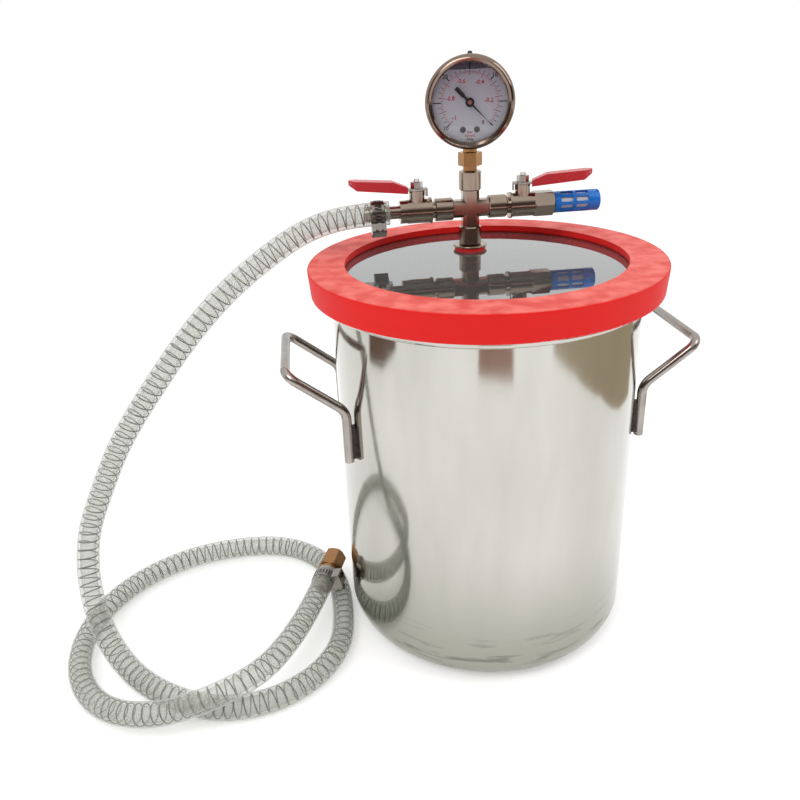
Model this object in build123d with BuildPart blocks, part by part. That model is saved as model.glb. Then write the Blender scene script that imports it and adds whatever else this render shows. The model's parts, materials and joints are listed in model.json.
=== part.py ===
"""Degassing chamber: a deep-drawn steel pot with a clear lid in a silicone gasket ring.

The lid carries a brass cross with a vacuum gauge on top, a vent valve with a silencer on
one side, and a suction valve with a wire-reinforced hose on the other.
Millimetres, +Z up, origin at the centre of the pot's base, handles and valves along X.
"""
import os
from math import asin, cos, degrees, pi, radians, sin, sqrt, tan

from build123d import *

# Pot
pot_r = 120.0             # outside radius of the wall
wall = 1.2                # sheet thickness
corner_r = 22.0           # outside radius between base and wall
pot_h = 294.5             # base to the top of the rolled rim
curl_r = 3.5              # outside radius of the rolled rim
curl_sweep = 285.0        # degrees that the sheet turns in the rim

# Handles
rod_r = 3.75
handle_half = 46.0        # half the distance between the legs
handle_out = 39.0         # wall to the centre of the grip bar
handle_grip_z = 250.0
leg_foot_z = 174.0
leg_bend_z = 217.0
leg_gap = 1.4             # wall to rod, filled by the weld
leg_bend_r = 14.0
grip_bend_r = 10.0
weld_h = 26.0
weld_w = 8.0
weld_rise = 3.0           # foot of the leg to the start of the weld

# Gasket ring and lid
ring_over = 16.5          # wall of the pot to the outside of the ring
ring_draft = 1.7          # the side wall leans in towards its foot
ring_side_t = 6.7         # side wall over the edge of the lid
ring_lip_in = 12.2        # wall of the pot to the edge of the top lip
ring_seat_in = 7.0        # wall of the pot to the edge of the sealing lip
ring_h = 21.5
ring_lip_t = 6.0
lid_t = 10.0
ring_edge_r = 1.8
lid_edge = 0.6
lid_hole_r = 7.0

# Passage through the lid
post_y = 53.0             # the hole is behind the centre of the lid
thread_r = 6.5            # quarter-inch pipe thread
pipe_bore_r = 4.0
seal_t = 2.4
seal_r = 12.6
flange_t = 1.4
flange_r = 13.8
lower_seal_t = 2.0
washer_t = 1.6
washer_r = 12.0
nut_af = 19.0
nut_t = 5.0
nipple_tail = 3.0         # nipple below the lock nut
ring_clear = 0.1          # thread to washers and seals

# Cross
arm_size = 13.4
arm_chamfer = 2.6
neck = 14.5               # centre to the start of each collar
collar_r = 9.1
collar_l = 15.0
collar_chamfer = 0.8
socket_depth = 11.0

# Ball valves
valve_gap = 2.5           # thread showing between a collar and the valve
body_in = 11.5            # stem axis to the inboard shoulder
body_out = 8.5            # stem axis to the end piece
shoulder_t = 2.0
shoulder_r = 10.5
body_r = 9.6
boss_r = 6.2
boss_top = 16.4           # above the pipe axis
ball_r = 6.2
ball_clear = 0.05
seat_chamfer = 0.5
chamber_r = 7.0
port_r = 3.4
seat_t = 2.6
stem_r = 2.4
stem_clear = 0.08
tang_w = 2.6
tang_z = 4.0              # foot of the tang above the pipe axis
packing_r = 4.0
packing_z = 10.0
gland_z = 13.0
lever_clear = 0.3         # boss to lever
lever_t = 1.6
lever_w = 12.0
lever_nut_af = 8.6
lever_nut_t = 5.0
stem_tip = 2.4            # stem above the nut
lever_rise = 4.6          # step up from the hub to the blade
lever_step_x = 8.0
lever_blade_x = 17.0
lever_l = 54.5            # stem axis to the tip of the sleeve
blade_w = 8.0
grip_w = 12.6
grip_wall = 1.7
grip_drop = 5.4           # depth of the sleeve's side wings below the blade
grip_start_x = 7.5 
blade_tilt_z = 3.0        # further rise along the blade
stop_tab_x = 8.4
stop_tab_drop = 4.6
vent_rest = -15.0          # degrees that the vent lever stands off the pipe

# End pieces of the valves
end_collar_r = 9.2
end_collar_l = 6.0
end_hex_af = 19.0
end_hex_l = 16.6
end_spigot_r = 6.9        # screws into the valve's chamber
shank_r = 5.2
shank_l = 8.6             # collar to the end of the hose
barb_l = 20.0
barb_r = 6.9
barb_root_r = 5.9
barb_bore_r = 3.6

# Silencer
cage_r = 8.6
cage_wall = 1.9
cage_l = 38.2
cage_gap = 0.6            # hex face to cage
window_l = 10.6
window_w = 4.0
window_pitch = 12.8
window_first = 10.2       # foot of the cage to the middle of the first row
window_count = 8
notch_w = 2.2
notch_l = 3.0
core_wall = 2.2

# Gauge
gauge_z = 424.6           # centre of the dial
gauge_turn = 12.0         # degrees that the dial is turned towards -X
bezel_r = 34.4
bezel_t = 8.2
bezel_open_r = 28.7
case_r = 31.6
case_depth = 24.0
case_wall = 0.9
glass_front = 2.0          # bezel face to window
window_t = 2.4
dial_t = 0.8
dial_drop = 7.4           # bezel face to dial face
dial_r = 29.8
dial_screw_r = 2.3
dial_screw_x = 5.4
dial_screw_y = -19.9
pointer_l = 19.5
pointer_tail = 15.0
pointer_t = 0.7
pointer_lift = 1.8        # dial face to pointer
pointer_zero = -45.0      # degrees, where the pointer rests at no vacuum
hub_r = 3.4
arbor_r = 0.8
arbor_clear = 0.06
block_w = 18.0            # holder of the tube, the movement and the dial
block_foot = 24.0          # below the centre of the dial
block_top = 6.5
tube_r = 20.0             # middle line of the coiled tube
tube_back = 8.0           # dial to the middle of the tube
stem_hex_af = 16.6
stem_hex_h = 10.2
stem_neck_h = 4.2
stem_neck_r = 5.6
plug_r = 2.6
plug_h = 3.4

# Hose and its end
hose_r = 9.5
hose_wall = 3.0
clamp_w = 10.0
clamp_t = 0.9
clamp_slots = 9
end_fit_af = 19.0
end_fit_l = 22.0
end_fit_neck_l = 4.0
port_depth = 12.0

# Levels and places worked out from the sizes above
handle_reach = pot_r + handle_out
ring_r = pot_r + ring_over
ring_foot_r = ring_r - ring_draft
ring_lip_r = pot_r - ring_lip_in
ring_seat_r = pot_r - ring_seat_in
lid_r = ring_r - ring_side_t
curl_x = pot_r - wall + curl_r
curl_z = pot_h - curl_r
ring_z = pot_h
ring_top = ring_z + ring_h
lid_top = ring_top - ring_lip_t
lid_z = lid_top - lid_t
collar_end = neck + collar_l
flange_z = lid_top + seal_t
cross_z = flange_z + flange_t + collar_end
valve_x = collar_end + valve_gap + body_in
lever_z = boss_top + lever_clear
nut_foot_z = lever_z + lever_t
stem_top = nut_foot_z + lever_nut_t + stem_tip
hex_foot_z = cross_z + collar_end + stem_neck_h
hose_bore_r = hose_r - hose_wall

CENTRE = Vector(0, post_y, cross_z)
parts = {}


def keep(name, part):
    """Labels a finished piece and puts it on the list to write."""
    part.label = name
    parts[name] = part


def hex_r(across_flats):
    """Corner radius of a hexagon."""
    return across_flats / 2 / cos(pi / 6)


def rounds(part, radius):
    """The part's circular edges of one radius."""
    circles = part.edges().filter_by(GeomType.CIRCLE)
    return circles.filter_by(lambda edge: abs(edge.radius - radius) < 1e-3)


# ---------------------------------------------------------------- pot
with BuildPart() as pot:
    with BuildSketch(Plane.XZ):
        with BuildLine():
            Line((0, 0), (pot_r - corner_r, 0))
            corner_out = CenterArc((pot_r - corner_r, corner_r), corner_r, 270, 90)
            Line(corner_out @ 1, (pot_r, curl_z))
            curl_in = CenterArc((curl_x, curl_z), curl_r - wall, 180, -curl_sweep)
            curl_out = CenterArc((curl_x, curl_z), curl_r, 180, -curl_sweep)
            Line(curl_in @ 1, curl_out @ 1)
            Line(curl_out @ 0, (pot_r - wall, corner_r))
            corner_in = CenterArc((pot_r - corner_r, corner_r), corner_r - wall, 270, 90)
            Line(corner_in @ 0, (0, wall))
            Line((0, wall), (0, 0))
        make_face()
    revolve(axis=Axis.Z)
keep("pot", pot.part)

# ---------------------------------------------------------------- handles and welds
leg_dist = pot_r + leg_gap + rod_r
leg_x = sqrt(leg_dist**2 - handle_half**2)
leg_angle = degrees(asin(handle_half / leg_dist))


def handle(side):
    """One bent rod: two legs on the wall, two rising arms and a grip bar."""
    with BuildPart() as rod:
        with BuildLine() as path:
            FilletPolyline(
                (side * leg_x, -handle_half, leg_foot_z),
                (side * leg_x, -handle_half, leg_bend_z),
                (side * handle_reach, -handle_half, handle_grip_z),
                (side * handle_reach, handle_half, handle_grip_z),
                (side * leg_x, handle_half, leg_bend_z),
                (side * leg_x, handle_half, leg_foot_z),
                radius=(leg_bend_r, grip_bend_r, grip_bend_r, leg_bend_r),
            )
        with BuildSketch(Plane((side * leg_x, -handle_half, leg_foot_z))):
            Circle(rod_r)
        sweep(path=path.wires()[0])
    return rod.part


def welds(side):
    """Two fillets of weld metal that join a handle's legs to the wall."""
    with BuildPart() as beads:
        for sign in (-1, 1):
            turn = sign * leg_angle if side > 0 else 180 - sign * leg_angle
            along = Vector(cos(radians(turn)), sin(radians(turn)), 0)
            foot = along * (pot_r + leg_gap / 2) + Vector(0, 0, leg_foot_z + weld_rise)
            with BuildSketch(Plane(foot, x_dir=along)):
                RectangleRounded(2 * leg_gap + rod_r, weld_w, 1.2)
            extrude(amount=weld_h, taper=2)
            leg = Plane(along * leg_dist)
            with BuildSketch(leg):
                Circle(rod_r)
            extrude(amount=pot_h, mode=Mode.SUBTRACT)
        with BuildSketch():
            Circle(pot_r)
        extrude(amount=pot_h, mode=Mode.SUBTRACT)
    return beads.part


for name, side in (("left", -1), ("right", 1)):
    keep(f"{name}_handle", handle(side))
    keep(f"{name}_handle_welds", welds(side))

# ---------------------------------------------------------------- gasket ring and lid
with BuildPart() as gasket_ring:
    with BuildSketch(Plane.XZ) as section:
        with BuildLine():
            Polyline(
                (ring_lip_r, ring_top),
                (ring_r, ring_top),
                (ring_foot_r, ring_z),
                (ring_seat_r, ring_z),
                (ring_seat_r, lid_z),
                (lid_r, lid_z),
                (lid_r, lid_top),
                (ring_lip_r, lid_top),
                close=True,
            )
        make_face()
        outer_corners = section.vertices().sort_by(Axis.X)[-2:]
        inner_corner = section.vertices().sort_by(Axis.X)[:2].sort_by(Axis.Z)[-1:]
        fillet(outer_corners + inner_corner, ring_edge_r)
    revolve(axis=Axis.Z)
keep("gasket_ring", gasket_ring.part)

with BuildPart() as lid:
    with BuildSketch(Plane.XY.offset(lid_z)):
        Circle(lid_r)
        with Locations((0, post_y)):
            Circle(lid_hole_r, mode=Mode.SUBTRACT)
    extrude(amount=lid_t)
    chamfer(rounds(lid, lid_r), lid_edge)
keep("lid", lid.part)


# ---------------------------------------------------------------- passage through the lid
def disc(outer_r, inner_r, foot_z, height):
    """A flat ring on the post's axis."""
    with BuildPart() as ring:
        with BuildSketch(Plane((0, post_y, foot_z))):
            Circle(outer_r)
            Circle(inner_r, mode=Mode.SUBTRACT)
        extrude(amount=height)
    return ring.part


hole_clear_r = thread_r + ring_clear
washer_z = lid_z - lower_seal_t - washer_t
lock_nut_z = washer_z - nut_t
nipple_z = lock_nut_z - nipple_tail
nipple_top = cross_z - collar_end + socket_depth
keep("upper_seal", disc(seal_r, hole_clear_r, lid_top, seal_t))
keep("lower_seal", disc(seal_r, hole_clear_r, lid_z - lower_seal_t, lower_seal_t))
keep("lower_washer", disc(washer_r, hole_clear_r, washer_z, washer_t))
keep("lid_nipple", disc(thread_r, pipe_bore_r, nipple_z, nipple_top - nipple_z))

with BuildPart() as upper_flange:
    with BuildSketch(Plane((0, post_y, flange_z))):
        Circle(flange_r)
        Circle(hole_clear_r, mode=Mode.SUBTRACT)
    extrude(amount=flange_t)
    fillet(rounds(upper_flange, flange_r).sort_by(Axis.Z)[-1:], flange_t / 2)
keep("upper_flange", upper_flange.part)

with BuildPart() as lock_nut:
    with BuildSketch(Plane((0, post_y, lock_nut_z))):
        RegularPolygon(hex_r(nut_af), 6)
        Circle(thread_r, mode=Mode.SUBTRACT)
    extrude(amount=nut_t)
keep("lock_nut", lock_nut.part)

# ---------------------------------------------------------------- cross
ARMS = (Vector(1, 0, 0), Vector(-1, 0, 0), Vector(0, 0, 1), Vector(0, 0, -1))
with BuildPart() as cross_fitting:
    for arm in (ARMS[0], ARMS[2]):
        with BuildSketch(Plane(CENTRE - arm * neck, x_dir=(0, 1, 0), z_dir=arm)) as square:
            Rectangle(arm_size, arm_size)
            chamfer(square.vertices(), arm_chamfer)
        extrude(amount=2 * neck)
    for arm in ARMS:
        with BuildSketch(Plane(CENTRE + arm * neck, z_dir=arm)):
            Circle(collar_r)
        extrude(amount=collar_l)
    chamfer(rounds(cross_fitting, collar_r), collar_chamfer)
    for arm in ARMS:
        with BuildSketch(Plane(CENTRE, z_dir=arm)):
            Circle(pipe_bore_r)
        extrude(amount=collar_end, mode=Mode.SUBTRACT)
        with BuildSketch(Plane(CENTRE + arm * (collar_end - socket_depth), z_dir=arm)):
            Circle(thread_r)
        extrude(amount=socket_depth, mode=Mode.SUBTRACT)
keep("cross_fitting", cross_fitting.part)


# ---------------------------------------------------------------- ball valves
class Valve:
    """The places of one valve: outwards along X on its side, up along Z."""

    def __init__(self, side, rest):
        self.side = side
        self.rest = rest
        self.origin = Vector(side * valve_x, post_y, cross_z)
        self.out = Vector(side, 0, 0)
        self.axis = Axis(self.origin, self.out)
        self.stem_axis = Axis(self.origin, (0, 0, 1))
        self.half = Plane(self.origin, x_dir=self.out, z_dir=(0, -side, 0))

    def across(self, distance):
        """A plane square to the pipe, that far outwards from the stem."""
        return Plane(self.origin + self.out * distance, x_dir=(0, 1, 0), z_dir=self.out)

    def turned(self, part):
        """A moving piece, turned to where the lever rests."""
        return part.rotate(self.stem_axis, self.rest) if self.rest else part

    def level(self, height):
        """A level plane that high above the pipe axis."""
        return Plane(self.origin + Vector(0, 0, height), x_dir=self.out)


def valve_body(valve):
    """Forged body: thread, shoulder, barrel with the ball chamber, and stem boss."""
    with BuildPart() as body:
        with BuildSketch(valve.half):
            with BuildLine():
                Polyline(
                    (-body_in - valve_gap - socket_depth + 1, port_r),
                    (-body_in - valve_gap - socket_depth + 1, thread_r),
                    (-body_in, thread_r),
                    (-body_in, shoulder_r),
                    (-body_in + shoulder_t, shoulder_r),
                    (-body_in + shoulder_t, body_r),
                    (body_out, body_r),
                    (body_out, 0),
                    (-body_in, 0),
                    (-body_in, port_r),
                    close=True,
                )
            make_face()
        revolve(axis=valve.axis)
        with BuildSketch(valve.level(0)):
            Circle(boss_r)
        extrude(amount=boss_top)
        with BuildSketch(valve.half):
            with BuildLine():
                Polyline(
                    (-body_in, 0),
                    (-body_in, port_r),
                    (-ball_r + seat_t / 2 - seat_t, port_r),
                    (-ball_r + seat_t / 2 - seat_t, chamber_r),
                    (body_out, chamber_r),
                    (body_out, 0),
                    close=True,
                )
            make_face()
        revolve(axis=valve.axis, mode=Mode.SUBTRACT)
        with BuildSketch(valve.level(0)):
            Circle(stem_r + stem_clear)
        extrude(amount=boss_top, mode=Mode.SUBTRACT)
        with BuildSketch(valve.level(packing_z)):
            Circle(packing_r)
        extrude(amount=boss_top - packing_z, mode=Mode.SUBTRACT)
    return body.part


def valve_ball(valve):
    """Bored ball with the slot that takes the stem's tang."""
    with BuildPart() as ball:
        with Locations(valve.origin):
            Sphere(ball_r)
        with BuildSketch(valve.across(0)):
            Circle(port_r)
        extrude(amount=ball_r, both=True, mode=Mode.SUBTRACT)
        with BuildSketch(valve.level(tang_z)):
            Rectangle(2 * ball_r, tang_w)
        extrude(amount=ball_r, mode=Mode.SUBTRACT)
    return ball.part


def valve_seats(valve):
    """Two seat rings, coned to the ball."""
    inner, outer = ball_r - seat_t / 2, ball_r + seat_t / 2
    with BuildPart() as seats:
        for sign in (-1, 1):
            with BuildSketch(valve.half):
                with BuildLine():
                    Polyline(
                        (sign * inner, port_r + seat_chamfer),
                        (sign * inner, chamber_r),
                        (sign * outer, chamber_r),
                        (sign * outer, port_r),
                        (sign * (inner + 0.8 * seat_chamfer), port_r),
                        close=True,
                    )
                make_face()
            revolve(axis=valve.axis)
    return seats.part


def valve_stem(valve):
    """Round stem with a flat tang at its foot."""
    with BuildPart() as stem:
        with BuildSketch(valve.level(tang_z)):
            Rectangle(2 * stem_r, tang_w)
            Circle(stem_r, mode=Mode.INTERSECT)
        extrude(amount=ball_r - tang_z + ball_clear)
        with BuildSketch(valve.level(ball_r + ball_clear)):
            Circle(stem_r)
        extrude(amount=stem_top - ball_r - ball_clear)
    return stem.part


def valve_ring(valve, foot_z, height):
    """Packing or gland: a ring in the boss round the stem."""
    with BuildPart() as ring:
        with BuildSketch(valve.level(foot_z)):
            Circle(packing_r)
            Circle(stem_r + stem_clear, mode=Mode.SUBTRACT)
        extrude(amount=height)
    return ring.part


def lever_line():
    """The middle line of the lever strip, from the hub out to the end of the blade."""
    hub_z = lever_z + lever_t / 2
    return (
        (0, hub_z),
        (lever_step_x, hub_z),
        (lever_blade_x, hub_z + lever_rise),
        (lever_l - grip_wall, hub_z + lever_rise + blade_tilt_z),
    )


def valve_lever(valve):
    """Pressed steel lever: hub plate, stop tab, step and narrow blade."""
    with BuildPart() as lever:
        with BuildSketch(valve.half):
            with BuildLine():
                Polyline(*lever_line())
                offset(amount=lever_t / 2)
            make_face()
        extrude(amount=lever_w / 2, both=True)
        with BuildSketch(valve.level(0)):
            Circle(lever_w / 2)
            with Locations(((lever_l - grip_wall) / 2, 0)):
                RectangleRounded(lever_l - grip_wall, blade_w, 1.5)
        extrude(amount=stem_top + lever_rise, mode=Mode.INTERSECT)
        with BuildSketch(valve.level(lever_z)):
            Circle(lever_w / 2)
            with Locations((-stop_tab_x / 2, 0)):
                Rectangle(stop_tab_x, blade_w)
            Circle(stem_r, mode=Mode.SUBTRACT)
        extrude(amount=lever_t)
        with BuildSketch(valve.level(lever_z)):
            Circle(stem_r)
        extrude(amount=lever_t, mode=Mode.SUBTRACT)
        with BuildSketch(valve.level(lever_z - stop_tab_drop)):
            with Locations((-stop_tab_x + lever_t / 2, 0)):
                Rectangle(lever_t, blade_w)
        extrude(amount=stop_tab_drop + lever_t)
    return lever.part


def valve_grip(valve):
    """Dipped sleeve over the blade: a shallow channel, open below, with a rounded tip."""
    start, bend, tip = grip_start_x, lever_blade_x, lever_l
    line = lever_line()
    step_slope = lever_rise / (lever_blade_x - lever_step_x)
    start_z = line[1][1] + step_slope * (start - lever_step_x)
    bend_z, tip_z = line[2][1], line[3][1]
    skin = lever_t / 2 + grip_wall
    with BuildPart() as grip:
        with BuildSketch(valve.level(0)):
            with BuildLine():
                Polyline(
                    (start, -blade_w / 2 - 0.6),
                    (bend + 6, -grip_w / 2),
                    (tip - 5, -grip_w / 2),
                    (tip, -grip_w / 2 + 4),
                    (tip, grip_w / 2 - 4),
                    (tip - 5, grip_w / 2),
                    (bend + 6, grip_w / 2),
                    (start, blade_w / 2 + 0.6),
                    close=True,
                )
            make_face()
        extrude(amount=stem_top + lever_rise + blade_tilt_z)
        with BuildSketch(valve.half):
            with BuildLine():
                Polyline(
                    (start, start_z - skin),
                    (bend + 5, bend_z - grip_drop),
                    (tip - 6, tip_z - grip_drop),
                    (tip, tip_z - 1),
                    (tip, tip_z + skin),
                    (bend + 2, bend_z + skin),
                    (start, start_z + skin),
                    close=True,
                )
            make_face()
        extrude(amount=grip_w, both=True, mode=Mode.INTERSECT)
        with BuildSketch(valve.half):
            with BuildLine():
                Polyline(
                    (bend + 4, bend_z - 2 * grip_drop),
                    (bend + 8, bend_z - skin),
                    (tip - 6, tip_z - skin),
                    (tip - 4, tip_z - 2 * grip_drop),
                    close=True,
                )
            make_face()
        extrude(amount=grip_w / 2 - grip_wall, both=True, mode=Mode.SUBTRACT)
        with BuildSketch(valve.half):
            with BuildLine():
                Polyline(*lever_line())
                offset(amount=lever_t / 2)
            make_face()
        extrude(amount=blade_w / 2, both=True, mode=Mode.SUBTRACT)
    return grip.part


def lever_nut(valve):
    """Hexagon nut that holds the lever on its stem."""
    with BuildPart() as nut:
        with BuildSketch(valve.level(nut_foot_z)):
            RegularPolygon(hex_r(lever_nut_af), 6)
            Circle(stem_r, mode=Mode.SUBTRACT)
        extrude(amount=lever_nut_t)
    return nut.part


suction, vent = Valve(-1, 0), Valve(1, vent_rest)
for name, valve in (("suction", suction), ("vent", vent)):
    keep(f"{name}_valve_body", valve_body(valve))
    keep(f"{name}_valve_ball", valve.turned(valve_ball(valve)))
    keep(f"{name}_valve_seats", valve_seats(valve))
    keep(f"{name}_valve_stem", valve.turned(valve_stem(valve)))
    keep(f"{name}_valve_packing", valve_ring(valve, packing_z, gland_z - packing_z))
    keep(f"{name}_valve_gland", valve_ring(valve, gland_z, boss_top - gland_z))
    keep(f"{name}_lever", valve.turned(valve_lever(valve)))
    keep(f"{name}_lever_grip", valve.turned(valve_grip(valve)))
    keep(f"{name}_lever_nut", valve.turned(lever_nut(valve)))

# ---------------------------------------------------------------- end pieces of the valves
seat_end = ball_r + seat_t / 2


def barb_profile(start):
    """Points of a hose barb from the shank to its tip."""
    pitch = barb_l / 4
    points = [(start, shank_r), (start + 0.6 * pitch, shank_r)]
    for ridge in range(3):
        foot = start + pitch * (ridge + 0.6)
        points += [(foot, barb_r), (foot + pitch, barb_root_r)]
    return points + [(start + barb_l, barb_root_r - 0.6)]


with BuildPart() as hose_tail:
    with BuildSketch(suction.half):
        with BuildLine():
            collar_x = body_out + end_collar_l
            hose_x = collar_x + shank_l
            Polyline(
                (seat_end, barb_bore_r),
                (seat_end, end_spigot_r),
                (body_out, end_spigot_r),
                (body_out, end_collar_r),
                (collar_x, end_collar_r),
                (collar_x, shank_r),
                *barb_profile(hose_x),
                (hose_x + barb_l, barb_bore_r),
                close=True,
            )
        make_face()
    revolve(axis=suction.axis)
keep("suction_hose_tail", hose_tail.part)

with BuildPart() as vent_end:
    with BuildSketch(vent.across(body_out)):
        RegularPolygon(hex_r(end_hex_af), 6)
    extrude(amount=end_hex_l)
    with BuildSketch(vent.half):
        with BuildLine():
            # Turned corners of the hexagon at both ends
            Polyline(
                (body_out, 0),
                (body_out, end_hex_af / 2 + 0.2),
                (body_out + 1, hex_r(end_hex_af)),
                (body_out + end_hex_l - 1, hex_r(end_hex_af)),
                (body_out + end_hex_l, end_hex_af / 2 + 0.2),
                (body_out + end_hex_l, 0),
                close=True,
            )
        make_face()
    revolve(axis=vent.axis, mode=Mode.INTERSECT)
    with BuildSketch(vent.across(seat_end)):
        Circle(end_spigot_r)
    extrude(amount=body_out - seat_end)
    with BuildSketch(vent.across(seat_end)):
        Circle(port_r)
    extrude(amount=end_hex_l, mode=Mode.SUBTRACT)
    with BuildSketch(vent.across(body_out + end_hex_l - socket_depth)):
        Circle(thread_r)
    extrude(amount=socket_depth, mode=Mode.SUBTRACT)
keep("vent_valve_end", vent_end.part)

# ---------------------------------------------------------------- silencer
cage_x = body_out + end_hex_l + cage_gap
window_r = cage_r - cage_wall
with BuildPart() as silencer_cage:
    with BuildSketch(vent.across(cage_x)):
        Circle(cage_r)
    extrude(amount=cage_l)
    chamfer(rounds(silencer_cage, cage_r), 0.7)
    with BuildSketch(vent.across(cage_x - socket_depth + 1)):
        Circle(thread_r)
    extrude(amount=socket_depth)
    with BuildSketch(vent.across(cage_x + 2)):
        Circle(window_r)
    extrude(amount=cage_l - 4, mode=Mode.SUBTRACT)
    with BuildSketch(vent.across(cage_x - socket_depth + 1)):
        Circle(port_r)
    extrude(amount=socket_depth + 4, mode=Mode.SUBTRACT)
    for row in range(2):
        middle = vent.origin + vent.out * (cage_x + window_first + row * window_pitch)
        for step in range(window_count):
            turn = 360 / window_count * (step + 0.5)
            outward = Vector(0, cos(radians(turn)), sin(radians(turn)))
            with BuildSketch(Plane(middle, x_dir=(1, 0, 0), z_dir=outward)):
                RectangleRounded(window_l, window_w, 0.9)
            extrude(amount=cage_r + 1, mode=Mode.SUBTRACT)
    for step in range(6):
        outward = Vector(0, cos(radians(60 * step)), sin(radians(60 * step)))
        tip = vent.origin + vent.out * (cage_x + cage_l) + outward * cage_r
        with BuildSketch(Plane(tip, x_dir=outward, z_dir=-vent.out)):
            Rectangle(1.6, notch_w)
        extrude(amount=notch_l, mode=Mode.SUBTRACT)
keep("silencer_cage", silencer_cage.part)

with BuildPart() as silencer_core:
    with BuildSketch(vent.across(cage_x + 2)):
        Circle(window_r)
        Circle(window_r - core_wall, mode=Mode.SUBTRACT)
    extrude(amount=cage_l - 4)
keep("silencer_core", silencer_core.part)

# ---------------------------------------------------------------- gauge
facing = Vector(-sin(radians(gauge_turn)), -cos(radians(gauge_turn)), 0)
across = Vector(cos(radians(gauge_turn)), -sin(radians(gauge_turn)), 0)
stem_middle = Vector(0, post_y, gauge_z)
gauge_centre = stem_middle + facing * (case_depth / 2 + glass_front - bezel_t / 2)


def dial_plane(depth):
    """A plane across the gauge, that far behind the bezel's face."""
    return Plane(gauge_centre + facing * (bezel_t / 2 - depth), x_dir=across, z_dir=facing)


def gauge_turned(points):
    """A solid of revolution about the gauge's axis: points are (depth, radius)."""
    front = gauge_centre + facing * (bezel_t / 2)
    with BuildPart() as turned:
        with BuildSketch(Plane(front, x_dir=-facing, z_dir=across)) as half:
            with BuildLine():
                Polyline(*points, close=True)
            make_face()
        revolve(axis=Axis(front, facing))
    return turned.part


dial_back = dial_drop + dial_t
case_back = case_depth + glass_front
stem_bore_r = 2.0

with BuildPart() as gauge_bezel:
    with BuildSketch(Plane(gauge_centre + facing * (bezel_t / 2), x_dir=-facing, z_dir=across)):
        with BuildLine():
            Polyline(
                (glass_front, bezel_open_r),
                (0.6, bezel_open_r + 0.9),
                (0, bezel_open_r + 2.6),
            )
            ThreePointArc(
                (0, bezel_open_r + 2.6),
                (1.6, bezel_r - 0.9),
                (bezel_t * 0.5, bezel_r),
            )
            Polyline(
                (bezel_t * 0.5, bezel_r),
                (bezel_t, bezel_r - 0.6),
                (bezel_t, case_r),
                (glass_front, case_r),
                (glass_front, bezel_open_r),
            )
        make_face()
    revolve(axis=Axis(gauge_centre, facing))
keep("gauge_bezel", gauge_bezel.part)

keep(
    "gauge_window",
    gauge_turned([(glass_front, 0), (glass_front, case_r - case_wall),
                  (glass_front + window_t, case_r - case_wall), (glass_front + window_t, 0)]),
)

with BuildPart() as gauge_case:
    with BuildSketch(dial_plane(case_back)):
        Circle(case_r)
    extrude(amount=case_depth)
    fillet(rounds(gauge_case, case_r).sort_by(Axis.Y)[-1:], 2.5)
    with BuildSketch(dial_plane(case_back - case_wall)):
        Circle(case_r - case_wall)
    extrude(amount=case_depth, mode=Mode.SUBTRACT)
    with BuildSketch(Plane(stem_middle + Vector(0, 0, -case_r - 2))):
        Circle(stem_neck_r)
    extrude(amount=4, mode=Mode.SUBTRACT)
    with BuildSketch(Plane(stem_middle + Vector(0, 0, case_r - 2))):
        Circle(plug_r)
    extrude(amount=4, mode=Mode.SUBTRACT)
keep("gauge_case", gauge_case.part)

with BuildPart() as gauge_dial:
    with BuildSketch(dial_plane(dial_back)):
        Circle(dial_r)
        Circle(arbor_r + arbor_clear, mode=Mode.SUBTRACT)
        with Locations((dial_screw_x, dial_screw_y), (-dial_screw_x, dial_screw_y)):
            Circle(0.8, mode=Mode.SUBTRACT)
    extrude(amount=dial_t)
keep("gauge_dial", gauge_dial.part)

with BuildPart() as dial_screws:
    with BuildSketch(dial_plane(dial_drop)):
        with Locations((dial_screw_x, dial_screw_y), (-dial_screw_x, dial_screw_y)):
            Circle(dial_screw_r)
    extrude(amount=0.8)
    with BuildSketch(dial_plane(dial_back + 2)):
        with Locations((dial_screw_x, dial_screw_y), (-dial_screw_x, dial_screw_y)):
            Circle(0.8)
    extrude(amount=2 + dial_t)
keep("gauge_dial_screws", dial_screws.part)

with BuildPart() as gauge_pointer:
    with BuildSketch(dial_plane(dial_drop - pointer_lift)) as needle:
        with BuildLine():
            aim = radians(pointer_zero)
            ahead = Vector(cos(aim), sin(aim), 0)
            aside = Vector(-sin(aim), cos(aim), 0)
            Polyline(
                ahead * pointer_l,
                ahead * 2 + aside * 0.75,
                ahead * -6 + aside * 0.9,
                ahead * -6.5 + aside * 1.5,
                ahead * -pointer_tail + aside * 1.5,
                ahead * -pointer_tail - aside * 1.5,
                ahead * -6.5 - aside * 1.5,
                ahead * -6 - aside * 0.9,
                ahead * 2 - aside * 0.75,
                close=True,
            )
        make_face()
        Circle(hub_r)
    extrude(amount=pointer_t)
    with BuildSketch(dial_plane(dial_back + 3)):
        Circle(arbor_r)
    extrude(amount=3 + dial_t + pointer_lift)
keep("gauge_pointer", gauge_pointer.part)

movement_gap = 0.4
movement_top = dial_back + 2.2
with BuildPart() as gauge_movement:
    for depth in (movement_top, movement_top + 6.4):
        with BuildSketch(dial_plane(depth + 1.2)):
            RectangleRounded(17, 13, 2)
            Circle(arbor_r + arbor_clear, mode=Mode.SUBTRACT)
        extrude(amount=1.2)
    with BuildSketch(dial_plane(movement_top + 6.5)):
        with Locations((-7, 5), (7, 5), (-7, -5), (7, -5)):
            Circle(1.2)
    extrude(amount=5.4)
keep("gauge_movement", gauge_movement.part)

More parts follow.
